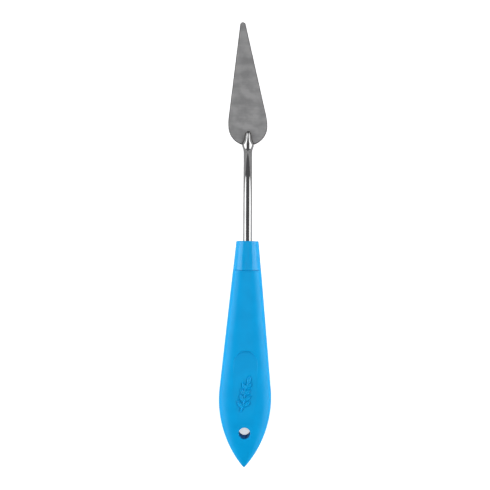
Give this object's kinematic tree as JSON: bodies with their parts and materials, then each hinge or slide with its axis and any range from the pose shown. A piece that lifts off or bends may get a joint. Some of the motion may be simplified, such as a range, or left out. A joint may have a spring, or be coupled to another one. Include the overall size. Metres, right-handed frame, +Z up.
{
  "type": "palette knife",
  "caption": "Cranked palette and painting knife: narrow leaf-shaped steel blade on a bent round shank, in a flattened moulded handle with a thumb flat and a hanging hole.",
  "frame": {"origin": "bottom centre of the knife's box as it lies on a table", "axes": "+Y from the butt of the handle to the tip of the blade, +Z up, away from the table and out of the blade's upper face; X across the blade"},
  "size_m": [0.0234, 0.2075, 0.0166],
  "materials": {
    "blade_steel": "satin ground grey steel",
    "shank_steel": "bright polished steel",
    "braze": "dark matt joint line",
    "handle_plastic": "semi-gloss moulded, fine texture"
  },
  "bodies": {
    "root": {"blade": "blade_steel", "shank": "shank_steel", "braze_seam": "braze", "handle": "handle_plastic"}
  },
  "joints": []
}
